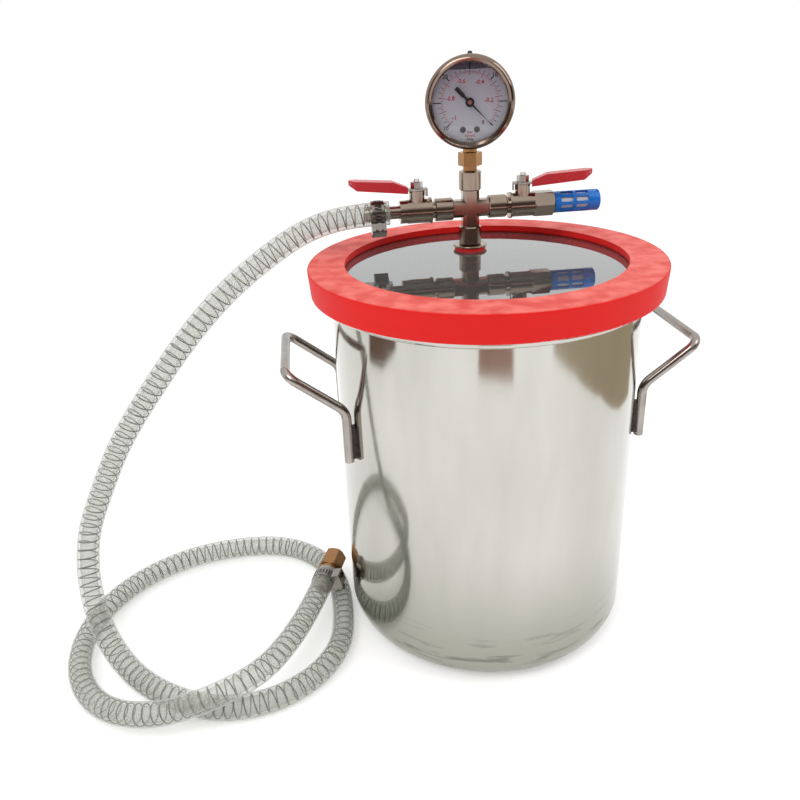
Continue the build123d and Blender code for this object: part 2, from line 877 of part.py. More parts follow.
tube_depth = dial_back + tube_back
with BuildPart() as bourdon_tube:
    with BuildLine() as coil:
        path_plane = dial_plane(tube_depth)
        tube_start, tube_sweep = -80.0, 255.0
        start_vec = path_plane.from_local_coords(
            Vector(tube_r * cos(radians(tube_start)), tube_r * sin(radians(tube_start)), 0))
        mid_vec = path_plane.from_local_coords(
            Vector(tube_r * cos(radians(tube_start + tube_sweep / 2)),
                   tube_r * sin(radians(tube_start + tube_sweep / 2)), 0))
        end_vec = path_plane.from_local_coords(
            Vector(tube_r * cos(radians(tube_start + tube_sweep)),
                   tube_r * sin(radians(tube_start + tube_sweep)), 0))
        ThreePointArc(start_vec, mid_vec, end_vec)
    with BuildSketch(Plane(coil.edges()[0] @ 0, x_dir=facing, z_dir=coil.edges()[0] % 0)):
        Ellipse(4.4, 1.6)
    sweep(path=coil.edges()[0])
keep("bourdon_tube", bourdon_tube.part)

with BuildPart() as gauge_stem:
    with BuildSketch(Plane((0, post_y, hex_foot_z), x_dir=across)):
        RegularPolygon(hex_r(stem_hex_af), 6)
    extrude(amount=stem_hex_h)
    with BuildSketch(Plane((0, post_y, cross_z + collar_end - socket_depth + 1))):
        Circle(thread_r)
    extrude(amount=socket_depth - 1)
    with BuildSketch(Plane((0, post_y, cross_z + collar_end))):
        Circle(stem_neck_r)
    extrude(amount=stem_neck_h)
    with BuildSketch(Plane((0, post_y, hex_foot_z + stem_hex_h))):
        Circle(stem_neck_r)
    extrude(amount=gauge_z - block_foot - hex_foot_z - stem_hex_h)
    with BuildSketch(Plane(stem_middle - Vector(0, 0, block_foot), x_dir=across)):
        Rectangle(block_w, 2 * (case_back - case_depth / 2 - dial_back))
    extrude(amount=block_foot - block_top)
    with BuildSketch(dial_plane(dial_back + 2)):
        with Locations((dial_screw_x, dial_screw_y), (-dial_screw_x, dial_screw_y)):
            Circle(0.8)
    extrude(amount=2, mode=Mode.SUBTRACT)
    with BuildSketch(Plane((0, post_y, cross_z + collar_end - socket_depth + 1))):
        Circle(stem_bore_r)
    extrude(amount=socket_depth + stem_neck_h + stem_hex_h - 2, mode=Mode.SUBTRACT)
    add(bourdon_tube.part, mode=Mode.SUBTRACT)
keep("gauge_stem", gauge_stem.part)

with BuildPart() as gauge_plug:
    with BuildSketch(Plane(stem_middle + Vector(0, 0, case_r - 1.6))):
        Circle(plug_r)
    extrude(amount=1.6 + 1.0)
    with BuildSketch(Plane(stem_middle + Vector(0, 0, case_r + 1.0))):
        Circle(plug_r)
    extrude(amount=plug_h, taper=20)
keep("gauge_vent_plug", gauge_plug.part)

# ---------------------------------------------------------------- hose
hose_start = Vector(-(valve_x + body_out + end_collar_l + shank_l), post_y, cross_z)
# Hose centre line: it leaves the tail, arches to the floor, makes a loop and a half there,
# crosses over itself twice and ends with its fitting resting on the loop.
HOSE_POINTS = (
    tuple(hose_start),
    (-102, post_y, cross_z),
    (-138, 47.5, 334),
    (-173, 40, 314),
    (-207, 34, 289),
    (-239, 29.5, 257),
    (-273, 25, 216),
    (-304, 20.5, 175),
    (-328, 17, 129),
    (-344, 12, 94),
    (-347, -5, 57),
    (-336, -31, 27),
    (-313, -62, hose_r + 0.1),
    (-281, -95, hose_r),
    (-237, -119.5, hose_r),
    (-194, -119, hose_r),
    (-158, -99, hose_r),
    (-135, -66, hose_r),
    (-130.5, -22, hose_r),
    (-133, 24, hose_r),
    (-152, 64, hose_r),
    (-186, 88, hose_r),
    (-232, 93, hose_r),
    (-278, 84, hose_r),
    (-317, 60, hose_r),
    (-345, 24, hose_r),
    (-357, -20, hose_r),
    (-351, -66, hose_r),
    (-326, -104, hose_r + 0.9),
    (-285, -126, 17),
    (-241, -131, 30),
    (-199, -112, 33),
    (-175, -75, 31),
    (-156.5, -33, 30.5),
    (-143, 6, 30.5),
)
hose_end = Vector(*HOSE_POINTS[-1])
hose_end_dir = (hose_end - Vector(*HOSE_POINTS[-2])).normalized()


def bend_radii(points):
    """The largest arc at each corner that leaves 0.45 of its shorter run on each side."""
    radii = []
    for before, here, after in zip(points, points[1:], points[2:]):
        run_in = Vector(*here) - Vector(*before)
        run_out = Vector(*after) - Vector(*here)
        turn = radians(run_in.get_angle(run_out))
        radii.append(0.45 * min(run_in.length, run_out.length) / tan(turn / 2))
    return radii


radii = bend_radii(HOSE_POINTS)
with BuildPart() as hose:
    with BuildLine() as route:
        FilletPolyline(*HOSE_POINTS, radius=radii)
    hose_path = route.wires()[0]
    with BuildSketch(Plane(hose_path @ 0, z_dir=hose_path % 0)):
        Circle(hose_r)
        Circle(hose_bore_r, mode=Mode.SUBTRACT)
    sweep(path=hose_path)
keep("hose", hose.part)
section_area = pi * (hose_r**2 - hose_bore_r**2)
print("hose length", round(hose_path.length, 1), "tightest bend", round(min(radii), 1))
print("hose volume over section times length",
      round(hose.part.volume / section_area / hose_path.length, 4))


# ---------------------------------------------------------------- hose clamps
def clamp_frame(middle, along, turn):
    """A plane at a clamp: z along the hose, x from its axis towards the screw housing."""
    flat = Plane(middle, z_dir=along)
    level = Vector(0, 0, 1).cross(along).normalized()
    aim = level.rotate(Axis((0, 0, 0), along), turn)
    return Plane(middle, x_dir=aim, z_dir=along)


def clamp_band(frame):
    """Slotted steel band round the hose."""
    with BuildPart() as band:
        with BuildSketch(frame.offset(-clamp_w / 2)):
            Circle(hose_r + clamp_t)
            Circle(hose_r, mode=Mode.SUBTRACT)
        extrude(amount=clamp_w)
        for step in range(clamp_slots):
            turn = radians(70 + step * 13)
            outward = frame.x_dir * cos(turn) + frame.y_dir * sin(turn)
            slot = Plane(frame.origin + outward * hose_r, x_dir=frame.z_dir, z_dir=outward)
            with BuildSketch(slot):
                SlotOverall(clamp_w * 0.62, 1.2, rotation=14)
            extrude(amount=2 * clamp_t, mode=Mode.SUBTRACT)
    return band.part


housing_h = 7.6
housing_l = 13.0
screw_r = 2.6
screw_head_r = 3.6


def clamp_housing(frame):
    """Folded bridge over the worm screw."""
    foot = hose_r + clamp_t
    with BuildPart() as housing:
        with BuildSketch(frame.offset(-clamp_w / 2 - 0.8)):
            with Locations((foot + housing_h / 2 - 0.6, 0)):
                RectangleRounded(housing_h + 1.2, housing_l, 1.8)
            Circle(foot, mode=Mode.SUBTRACT)
        extrude(amount=clamp_w + 1.6)
        bore = Plane(frame.origin + frame.x_dir * (foot + housing_h / 2)
                     - frame.y_dir * housing_l, x_dir=frame.x_dir, z_dir=frame.y_dir)
        with BuildSketch(bore):
            Circle(screw_r)
        extrude(amount=2 * housing_l, mode=Mode.SUBTRACT)
    return housing.part


def clamp_screw(frame):
    """Worm screw with a slotted hexagon head."""
    foot = hose_r + clamp_t + housing_h / 2
    start = frame.origin + frame.x_dir * foot - frame.y_dir * (housing_l / 2)
    line = Plane(start, x_dir=frame.x_dir, z_dir=frame.y_dir)
    with BuildPart() as screw:
        with BuildSketch(line):
            Circle(screw_r)
        extrude(amount=housing_l + 1)
        with BuildSketch(line.offset(housing_l + 1)):
            RegularPolygon(screw_head_r, 6)
        extrude(amount=3.2)
        with BuildSketch(line.offset(housing_l + 3)):
            Rectangle(3 * screw_head_r, 1)
        extrude(amount=2, mode=Mode.SUBTRACT)
    return screw.part


near_clamp = clamp_frame(hose_start + Vector(-9.5, 0, 0), Vector(-1, 0, 0), -60)
far_clamp = clamp_frame(hose_end - hose_end_dir * 9.5, hose_end_dir, 165)
for name, frame in (("near", near_clamp), ("far", far_clamp)):
    keep(f"{name}_clamp_band", clamp_band(frame))
    keep(f"{name}_clamp_housing", clamp_housing(frame))
    keep(f"{name}_clamp_screw", clamp_screw(frame))

# ---------------------------------------------------------------- fitting on the hose's free end
tail = Plane(hose_end, z_dir=hose_end_dir)
fit_half = Plane(hose_end, x_dir=hose_end_dir, z_dir=tail.x_dir)
with BuildPart() as hose_end_fitting:
    with BuildSketch(tail.offset(end_fit_neck_l)):
        RegularPolygon(hex_r(end_fit_af), 6)
    extrude(amount=end_fit_l)
    with BuildSketch(fit_half):
        with BuildLine():
            far = end_fit_neck_l + end_fit_l
            Polyline(
                (-barb_l, 0),
                (-barb_l, barb_root_r - 0.6),
                (-barb_l * 0.75, barb_r),
                (-barb_l * 0.75, barb_root_r),
                (-barb_l * 0.5, barb_r),
                (-barb_l * 0.5, barb_root_r),
                (-barb_l * 0.25, barb_r),
                (-barb_l * 0.25, barb_root_r),
                (0, barb_root_r),
                (0, collar_r),
                (end_fit_neck_l, collar_r),
                (end_fit_neck_l, end_fit_af / 2),
                (end_fit_neck_l + 1.2, hex_r(end_fit_af)),
                (far - 1.2, hex_r(end_fit_af)),
                (far, end_fit_af / 2),
                (far, 0),
                close=True,
            )
        make_face()
    revolve(axis=Axis(hose_end, hose_end_dir), mode=Mode.INTERSECT)
    with BuildSketch(fit_half):
        with BuildLine():
            Polyline(
                (-barb_l, 0),
                (-barb_l, barb_root_r - 0.6),
                (-barb_l * 0.75, barb_r),
                (-barb_l * 0.75, barb_root_r),
                (-barb_l * 0.5, barb_r),
                (-barb_l * 0.5, barb_root_r),
                (-barb_l * 0.25, barb_r),
                (-barb_l * 0.25, barb_root_r),
                (0, barb_root_r),
                (0, collar_r),
                (end_fit_neck_l, collar_r),
                (end_fit_neck_l, 0),
                close=True,
            )
        make_face()
    revolve(axis=Axis(hose_end, hose_end_dir))
    with BuildSketch(tail.offset(-barb_l)):
        Circle(barb_bore_r)
    extrude(amount=barb_l + far, mode=Mode.SUBTRACT)
    with BuildSketch(tail.offset(far - port_depth)):
        Circle(thread_r)
    extrude(amount=port_depth, mode=Mode.SUBTRACT)
keep("hose_end_fitting", hose_end_fitting.part)
port = hose_end + hose_end_dir * (far - port_depth / 2)
print("pump port", [round(v / 1000, 6) for v in port], [round(v, 6) for v in hose_end_dir])

os.makedirs("parts", exist_ok=True)
for name, part in parts.items():
    export_step(part, f"parts/{name}.step")
print(len(parts), "nodes")
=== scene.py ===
"""Looks of the degassing chamber: finishes, dial print, hose with its wire, studio and camera.

Metres, +Z up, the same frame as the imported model.
"""
import json
import math

import bmesh
import bpy
from mathutils import Matrix, Vector


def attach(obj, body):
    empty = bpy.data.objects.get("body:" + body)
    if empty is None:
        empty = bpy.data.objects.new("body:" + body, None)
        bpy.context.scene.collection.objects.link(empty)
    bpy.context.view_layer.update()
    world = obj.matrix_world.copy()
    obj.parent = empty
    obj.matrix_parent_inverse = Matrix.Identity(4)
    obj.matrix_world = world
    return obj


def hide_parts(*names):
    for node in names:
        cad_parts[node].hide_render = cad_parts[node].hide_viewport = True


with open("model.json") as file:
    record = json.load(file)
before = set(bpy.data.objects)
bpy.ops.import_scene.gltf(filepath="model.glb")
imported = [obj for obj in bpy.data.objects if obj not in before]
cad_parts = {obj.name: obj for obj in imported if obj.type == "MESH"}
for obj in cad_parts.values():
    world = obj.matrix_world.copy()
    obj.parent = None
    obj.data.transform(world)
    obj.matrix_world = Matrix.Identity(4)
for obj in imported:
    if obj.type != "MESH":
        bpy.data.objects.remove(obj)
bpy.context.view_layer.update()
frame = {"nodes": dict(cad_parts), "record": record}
nodes = frame["nodes"]
record = frame["record"]
scene = bpy.context.scene
MM = 0.001


# ---------------------------------------------------------------- shader building
class Val:
    """A value in a node tree that takes part in sums."""

    def __init__(self, net, socket):
        self.net, self.socket = net, socket

    def math(self, operation, *others, clamp=False):
        settings = {"operation": operation, "use_clamp": clamp}
        return self.net.val("ShaderNodeMath", settings, dict(enumerate((self, *others))))

    def __add__(self, other):
        return self.math("ADD", other)

    def __mul__(self, other):
        return self.math("MULTIPLY", other)

    def __rsub__(self, other):
        inputs = {0: other, 1: self}
        return self.net.val("ShaderNodeMath", {"operation": "SUBTRACT"}, inputs)

    __radd__ = __add__
    __rmul__ = __mul__

    def ramp(self, low, high):
        """0 below low, 1 above high, smooth between; high may be the lower one."""
        return self.net.val("ShaderNodeMapRange", {"interpolation_type": "SMOOTHSTEP"},
                            {0: self, 1: low, 2: high, 3: 0.0, 4: 1.0})


class Net:
    """Nodes of one tree, made with their settings and inputs in a single call."""

    def __init__(self, tree):
        self.tree = tree

    def node(self, kind, settings=None, inputs=None):
        made = self.tree.nodes.new(kind)
        for key, value in (settings or {}).items():
            setattr(made, key, value)
        for key, value in (inputs or {}).items():
            if isinstance(value, Val):
                self.tree.links.new(value.socket, made.inputs[key])
            else:
                made.inputs[key].default_value = value
        return made

    def val(self, kind, settings=None, inputs=None, output=0):
        return Val(self, self.node(kind, settings, inputs).outputs[output])

    def mix(self, factor, a, b):
        """Colour a at factor 0, b at factor 1."""
        return self.val("ShaderNodeMix", {"data_type": "RGBA"}, {0: factor, 6: a, 7: b}, 2)

    def place(self, scale=(1, 1, 1)):
        """Where a point of the object is, stretched."""
        coords = self.val("ShaderNodeTexCoord", output="Object")
        return self.val("ShaderNodeMapping", None, {"Vector": coords, "Scale": scale})

    def noise(self, scale, detail=3.0, stretch=(1, 1, 1)):
        inputs = {"Vector": self.place(stretch), "Scale": scale, "Detail": detail}
        return self.val("ShaderNodeTexNoise", None, inputs)

    def split(self, vector, axis):
        return self.val("ShaderNodeSeparateXYZ", None, {0: vector}, axis)

    def bump(self, height, strength, distance):
        inputs = {"Height": height, "Strength": strength, "Distance": distance}
        return self.val("ShaderNodeBump", None, inputs)


def rgb(r, g, b):
    """Linear colour of an sRGB one given in 0 to 255."""
    parts = [v / 255 for v in (r, g, b)]
    lin = [v / 12.92 if v <= 0.04045 else ((v + 0.055) / 1.055) ** 2.4 for v in parts]
    return (*lin, 1.0)


def shade(colour, factor):
    return (*(min(1.0, v * factor) for v in colour[:3]), 1.0)


def material(name):
    """An empty material's net and a function that sets its surface."""
    made = bpy.data.materials.new(name)
    made.use_nodes = True
    made.node_tree.nodes.clear()
    net = Net(made.node_tree)
    out = net.node("ShaderNodeOutputMaterial")

    def surface(shader):
        net.tree.links.new(shader.socket, out.inputs["Surface"])
        return made

    return net, surface


def principled(net, **inputs):
    named = {key.replace("_", " "): value for key, value in inputs.items()}
    return net.val("ShaderNodeBsdfPrincipled", None, named)


def finish(name, colour, metallic=0.0, roughness=0.4, mottle=0.1, scale=90.0, bump=0.0, coat=0.0):
    """A plain finish with a little unevenness in its colour and sheen."""
    net, surface = material(name)
    cloud = net.noise(scale)
    fine = net.noise(scale * 7, 2.0)
    sheen = cloud * (roughness * 0.5) + fine * (roughness * 0.3) + roughness * 0.6
    inputs = {
        "Base_Color": net.mix(cloud, shade(colour, 1 - mottle), shade(colour, 1 + mottle)),
        "Metallic": metallic,
        "Roughness": sheen,
        "Coat_Weight": coat,
    }
    if bump:
        inputs["Normal"] = net.bump(fine, bump, 0.0004)
    return surface(principled(net, **inputs))


# ---------------------------------------------------------------- finishes
def pot_steel():
    """Polished sheet: slow waves down the wall, a scuffed foot; the lower wall painted darker as
    painted shade, and patches near the foot painted darker as painted dark reflection.
    """
    net, surface = material("polished_steel")
    height = net.split(net.place(), 2)
    foot = height.ramp(0.035, 0.004)
    waves = net.noise(9.0, 1.5, (1, 1, 0.35))
    smear = net.noise(26.0, 4.0, (1, 1, 0.25))
    scratches = net.noise(420.0, 2.0, (0.25, 0.25, 1))
    # The lower wall is painted darker towards the foot: painted shade.
    low = height.ramp(0.13, 0.012)
    colour = net.mix(low, net.mix(smear, rgb(170, 169, 161), rgb(206, 205, 199)),
                     rgb(158, 158, 148))
    # Patches near the foot are painted darker as painted dark reflection; the same patches are
    # rougher as rubbed wear.
    rubbed_and_painted_reflection = net.noise(24.0, 6.0, (1, 1, 7)).ramp(0.52, 0.66) * height.ramp(0.060, 0.022)
    colour_with_painted_reflection = net.mix(rubbed_and_painted_reflection * 0.55, colour, rgb(96, 96, 90))
    return surface(principled(
        net, Base_Color=colour_with_painted_reflection, Metallic=1.0,
        Roughness=smear * 0.09 + scratches * 0.05 + foot * 0.20 + rubbed_and_painted_reflection * 0.15 + 0.03,
        Normal=net.bump(waves * 1.0 + smear * 0.15, 0.25, 0.004),
    ))


def handle_steel():
    net, surface = material("handle_steel")
    cloud = net.noise(60.0, 3.0)
    colour = net.mix(cloud, rgb(128, 120, 114), rgb(184, 178, 172))
    return surface(principled(net, Base_Color=colour, Metallic=1.0, Roughness=cloud * 0.12 + 0.14))


def weld_metal():
    net, surface = material("weld_metal")
    beads = net.noise(300.0, 3.0)
    colour = net.mix(beads, rgb(28, 27, 30), rgb(92, 86, 82))
    return surface(principled(net, Base_Color=colour, Metallic=0.8, Roughness=beads * 0.3 + 0.3,
                              Normal=net.bump(beads, 0.9, 0.0012)))


def silicone(name):
    """Saturated on its sides, paler on faces that look up: dust there, and painted light from
    above.
    """
    net, surface = material(name)
    normal = net.val("ShaderNodeNewGeometry", output="Normal")
    # Faces that look up are painted paler: dust, and painted light from above.
    upward_dust_and_painted_light = net.split(normal, 2).ramp(0.55, 0.98)
    dust = net.noise(70.0, 4.0)
    specks = net.noise(900.0, 2.0)
    side = net.mix(dust, rgb(216, 14, 11), rgb(230, 24, 19))
    top_dust_and_painted_light = net.mix(dust.ramp(0.30, 0.72), rgb(216, 70, 61), rgb(236, 120, 110))
    return surface(principled(net, Base_Color=net.mix(upward_dust_and_painted_light, side, top_dust_and_painted_light),
                              Roughness=dust * 0.2 + 0.45, Specular_IOR_Level=0.25,
                              Normal=net.bump(specks, 0.10, 0.0003)))


def clear_sheet(name, tint, mirror, edge, rough=0.02, haze=0.0):
    """Glass or acrylic under a film of haze, more of a mirror towards its edge."""
    net, surface = material(name)
    fresnel = net.val("ShaderNodeFresnel", None, {"IOR": 1.5})
    amount = fresnel.math("MULTIPLY_ADD", edge, mirror, clamp=True)
    through = net.val("ShaderNodeBsdfTransparent", None, {"Color": tint})
    film = net.val("ShaderNodeBsdfDiffuse", None, {"Color": (0.90, 0.89, 0.87, 1)})
    through = net.val("ShaderNodeMixShader", None, {0: haze, 1: through, 2: film})
    gloss = net.val("ShaderNodeBsdfGlossy", None,
                    {"Color": (0.92, 0.94, 0.94, 1), "Roughness": rough})
    return surface(net.val("ShaderNodeMixShader", None, {0: amount, 1: through, 2: gloss}))


def hose_vinyl(name, clearest, edge):
    """Clear vinyl: see-through where it is looked at squarely, milky towards its edges."""
    net, surface = material(name)
    facing = net.val("ShaderNodeLayerWeight", None, {"Blend": 0.45}, "Facing")
    cloud = net.noise(40.0, 2.0)
    through = net.val("ShaderNodeBsdfTransparent", None, {"Color": (0.965, 0.97, 0.958, 1)})
    skin = principled(net, Base_Color=net.mix(cloud, rgb(190, 192, 184), rgb(222, 224, 217)),
                      Roughness=cloud * 0.1 + 0.10)
    milky = facing.math("POWER", 1.6) * edge + cloud * 0.10 + clearest
    amount = milky.math("ADD", 0.0, clamp=True)
    return surface(net.val("ShaderNodeMixShader", None, {0: amount, 1: through, 2: skin}))


def dial_enamel():
    """White face, a little greyer in its upper part: painted shade."""
    net, surface = material("dial_white")
    # The upper part of the face is painted greyer: painted shade.
    lower = net.split(net.place(), 2).ramp(0.446, 0.404)
    cloud = net.noise(40.0)
    colour = net.mix(lower, rgb(196, 190, 202), rgb(232, 234, 242))
    return surface(principled(net, Base_Color=colour, Roughness=cloud * 0.1 + 0.42))


FINISHES = {
    "polished_steel": pot_steel(),
    "weld_metal": weld_metal(),
    "red_silicone": silicone("red_silicone"),
    "lid_glass": clear_sheet("lid_glass", (0.84, 0.86, 0.86, 1), 0.14, 1.35, haze=0.08),
    "nickel_plate": finish("nickel_plate", rgb(158, 142, 128), 1.0, 0.16, 0.14),
    "bare_brass": finish("bare_brass", rgb(160, 118, 78), 1.0, 0.24, 0.20),
    "valve_steel": finish("valve_steel", rgb(200, 200, 198), 1.0, 0.12),
    "white_seat": finish("white_seat", rgb(236, 236, 232), 0.0, 0.4, 0.03),
    "lever_steel": finish("lever_steel", rgb(176, 172, 166), 1.0, 0.26),
    "red_vinyl": finish("red_vinyl", rgb(196, 14, 30), 0.0, 0.26, 0.10, 60.0, 0.05),
    "blue_plastic": finish("blue_plastic", rgb(8, 116, 212), 0.0, 0.28, 0.08),
    "white_filter": finish("white_filter", rgb(226, 228, 230), 0.0, 0.8, 0.05, 700.0, 0.6),
    "gauge_steel": finish("gauge_steel", rgb(134, 117, 106), 1.0, 0.12, 0.10),
    "window_glass": clear_sheet("window_glass", (0.97, 0.97, 0.98, 1), 0.0, 0.7, 0.01),
    "dial_white": dial_enamel(),
    "pointer_black": finish("pointer_black", rgb(24, 22, 24), 0.0, 0.4, 0.1),
    "screw_steel": finish("screw_steel", rgb(146, 140, 134), 1.0, 0.24, 0.16),
    "black_rubber": finish("black_rubber", rgb(26, 26, 26), 0.0, 0.55),
    "clear_hose": hose_vinyl("clear_hose", 0.14, 0.60),
}
OWN_FINISHES = {
    "left_handle": handle_steel(),
    "gauge_dial_screws": finish("dial_screw_steel", rgb(70, 64, 68), 0.25, 0.5, 0.3, 700.0),
}
OWN_FINISHES["right_handle"] = OWN_FINISHES["left_handle"]
for part in record["subparts"]:
    node = nodes[part["node"]]
    node.data.materials.clear()
    node.data.materials.append(OWN_FINISHES.get(part["node"], FINISHES[part["material_slot"]]))


# ---------------------------------------------------------------- making pieces
def add_piece(name, mesh, body, finish_material, smooth=True):
    """Puts a mesh in the scene, on a body."""
    made = bpy.data.objects.new(name, mesh)
    scene.collection.objects.link(made)
    mesh.materials.clear()
    mesh.materials.append(finish_material)
    for face in mesh.polygons:
        face.use_smooth = smooth
        face.material_index = 0
    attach(made, body)
    return made


def mesh_from(name, verts, faces):
    made = bpy.data.meshes.new(name)
    made.from_pydata([tuple(v) for v in verts], [], faces)
    made.update()
    return made


def mesh_of(holder):
    """The mesh that an object ends up as; the object itself is dropped."""
    scene.collection.objects.link(holder)
    graph = bpy.context.evaluated_depsgraph_get()
    made = bpy.data.meshes.new_from_object(holder.evaluated_get(graph))
    bpy.data.objects.remove(holder)
    return made


def axes(x, y, z, origin):
    """Matrix whose columns are three directions and a place."""
    return Matrix([(*row,) for row in zip(x, y, z, origin)] + [(0, 0, 0, 1)])


def frames_along(points):
    """For each point, its place and two side directions that twist as little as possible."""
    tangents = []
    for i, here in enumerate(points):
        before, after = points[max(i - 1, 0)], points[min(i + 1, len(points) - 1)]
        tangents.append((after - before).normalized())
    side = tangents[0].orthogonal().normalized()
    frames = []
    for here, along in zip(points, tangents):
        side = (side - along * side.dot(along)).normalized()
        frames.append((here, side, along.cross(side)))
    return frames


def tube_mesh(name, points, radius, sides):
    """A closed round rod along the points."""
    frames = frames_along(points)
    verts, faces = [], []
    for here, side, other in frames:
        for k in range(sides):
            turn = 2 * math.pi * k / sides
            verts.append(here + side * (radius * math.cos(turn))
                         + other * (radius * math.sin(turn)))
    for i in range(len(points) - 1):
        for k in range(sides):
            a, b = i * sides + k, i * sides + (k + 1) % sides
            faces.append((a, b, b + sides, a + sides))
    last = (len(points) - 1) * sides
    faces.append(tuple(reversed(range(sides))))
    faces.append(tuple(range(last, last + sides)))
    return mesh_from(name, verts, faces)


def ring_tree():
    """Geometry nodes: bars set round a circle, turned outwards."""
    tree = bpy.data.node_groups.new("ring_of_bars", "GeometryNodeTree")
    for name, kind in (("Count", "NodeSocketInt"), ("Start", "NodeSocketFloat"),
                       ("Step", "NodeSocketFloat"), ("Radius", "NodeSocketFloat"),
                       ("Bar", "NodeSocketVector"), ("Material", "NodeSocketMaterial")):
        tree.interface.new_socket(name, in_out="INPUT", socket_type=kind)
    tree.interface.new_socket("Geometry", in_out="OUTPUT", socket_type="NodeSocketGeometry")
    net = Net(tree)
    given = net.node("NodeGroupInput")
    take = {s.name: Val(net, s) for s in given.outputs if s.name}
    index = net.val("GeometryNodeInputIndex")
    turn = index * take["Step"] + take["Start"]
    spot = net.val("ShaderNodeCombineXYZ", None,
                   {0: turn.math("COSINE") * take["Radius"], 1: turn.math("SINE") * take["Radius"]})
    points = net.val("GeometryNodePoints", None, {"Count": take["Count"], "Position": spot})
    bar = net.val("GeometryNodeMeshCube", None, {"Size": take["Bar"]})
    facing = net.val("ShaderNodeCombineXYZ", None, {2: turn})
    placed = net.val("GeometryNodeInstanceOnPoints", None,
                     {"Points": points, "Instance": bar, "Rotation": facing})
    solid = net.val("GeometryNodeRealizeInstances", None, {0: placed})
    painted = net.val("GeometryNodeSetMaterial", None, {0: solid, "Material": take["Material"]})
    net.node("NodeGroupOutput", None, {0: painted})
    return tree


RING_OF_BARS = ring_tree()


def bars_round(count, start, step, radius, length, width, ink, thick=0.04):
    """A mesh of bars round a circle; angles in degrees, sizes in millimetres."""
    holder = bpy.data.objects.new("bars", bpy.data.meshes.new("bars"))
    modifier = holder.modifiers.new("bars", "NODES")
    modifier.node_group = RING_OF_BARS
    given = {"Count": count, "Start": math.radians(start), "Step": math.radians(step),
             "Radius": radius * MM, "Bar": (length * MM, width * MM, thick * MM), "Material": ink}
    for item in RING_OF_BARS.interface.items_tree:
        if item.in_out == "INPUT":
            modifier[item.identifier] = given[item.name]
    return mesh_of(holder)


SIZE_PER_CAPITAL, BOLDNESS = 1.35, 0.028


def words(text, height, x, y):
    """A solid mesh of some text, centred; height of a capital and place in millimetres."""
    curve = bpy.data.curves.new("words", "FONT")
    curve.body = text
    curve.size = height * MM * SIZE_PER_CAPITAL
    curve.extrude = 0.02 * MM
    curve.offset = BOLDNESS * height * MM
    curve.resolution_u = 2
    curve.align_x, curve.align_y = "CENTER", "CENTER"
    made = mesh_of(bpy.data.objects.new("words", curve))
    made.transform(Matrix.Translation((x * MM, y * MM, 0)))
    return made


def join(name, meshes, matrix):
    """One welded mesh of several, moved by the matrix."""
    whole = bmesh.new()
    for mesh in meshes:
        whole.from_mesh(mesh)
        bpy.data.meshes.remove(mesh)
    bmesh.ops.remove_doubles(whole, verts=whole.verts, dist=1e-7)
    made = bpy.data.meshes.new(name)
    whole.to_mesh(made)
    whole.free()
    made.transform(matrix)
    return made


def plate(name, outline, thick, matrix):
    """A closed flat plate with that outline; millimetres."""
    count = len(outline)
    verts = [(x * MM, y * MM, z * MM) for z in (0, thick) for x, y in outline]
    faces = [(k, (k + 1) % count, (k + 1) % count + count, k + count) for k in range(count)]
    faces += [tuple(reversed(range(count))), tuple(range(count, 2 * count))]
    made = mesh_from(name, verts, faces)
    made.transform(matrix)
    return made


def circle(radius, sides=48):
    """Corners of a round outline."""
    turns = [2 * math.pi * k / sides for k in range(sides)]
    return [(radius * math.cos(turn), radius * math.sin(turn)) for turn in turns]


# ---------------------------------------------------------------- gauge
# It faces the front, turned a little towards -X; its layers stand ahead of its middle
TURN = math.radians(12)
FACING = Vector((-math.sin(TURN), -math.cos(TURN), 0))
ACROSS = Vector((math.cos(TURN), -math.sin(TURN), 0))
GAUGE = Vector((0, 53, 424.6)) * MM
DIAL_AHEAD, POINTER_AHEAD, GLASS_AHEAD = 6.6 * MM, 9.1 * MM, 9.6 * MM
PRINT_GAP = 0.03 * MM
HUB_R, HUB_T = 1.7, 0.3


def gauge_frame(ahead):
    """Matrix from flat drawing space to a plane in front of the gauge's middle."""
    return axes(ACROSS, Vector((0, 0, 1)), FACING, GAUGE + FACING * ahead)


def around(text, height, angle, radius):
    """Upright text whose middle is at that angle and radius on the dial."""
    turn = math.radians(angle)
    return words(text, height, radius * math.cos(turn), radius * math.sin(turn))


BLACK = finish("dial_black", rgb(22, 20, 28), 0.0, 0.5)
RED = finish("dial_red", rgb(196, 30, 40), 0.0, 0.5)
HUB_PINK = finish("pointer_hub", rgb(176, 112, 108), 0.0, 0.4)
# Bars: count, start and step in degrees, radius of their middle, length, width
black_marks = [
    bars_round(31, -45, 9, 23.6, 2.4, 0.40, BLACK),
    bars_round(7, -45, 45, 23.6, 3.0, 0.85, BLACK),
    bars_round(3, 0, 90, 26.2, 4.6, 0.75, BLACK),
    *(around(str(v), 3.2, -45 + 9 * v, 26.4) for v in (10, 20, 30)),
    around("0", 3.0, -56, 18.0),
    words("inHg", 2.1, 0, -27.0),
]
red_marks = [
    bars_round(136, -45, 2, 21.9, 0.22, 0.80, RED),
    bars_round(51, -45, 5.4, 21.0, 1.6, 0.26, RED),
    bars_round(11, -45, 27, 20.4, 2.8, 0.50, RED),
    around("-0.2", 3.3, 3.7, 14.6), around("-0.4", 3.3, 62.4, 15.9),
    around("-0.6", 3.3, 113.7, 16.5), around("-0.8", 3.3, 168.7, 15.2),
    around("-1", 3.3, 222.8, 16.2),
    words("bar", 2.3, 0, -21.6), words("kg/cm2", 2.0, 0, -24.4),
]
flat = gauge_frame(DIAL_AHEAD + PRINT_GAP)
add_piece("dial_print_black", join("dial_print_black", black_marks, flat), "chamber",
          BLACK, False)
add_piece("dial_print_red", join("dial_print_red", red_marks, flat), "chamber",
          RED, False)
hub_disc = plate("pointer_cap", circle(HUB_R), HUB_T, gauge_frame(POINTER_AHEAD))
add_piece("pointer_cap", hub_disc, "pointer", HUB_PINK, False)
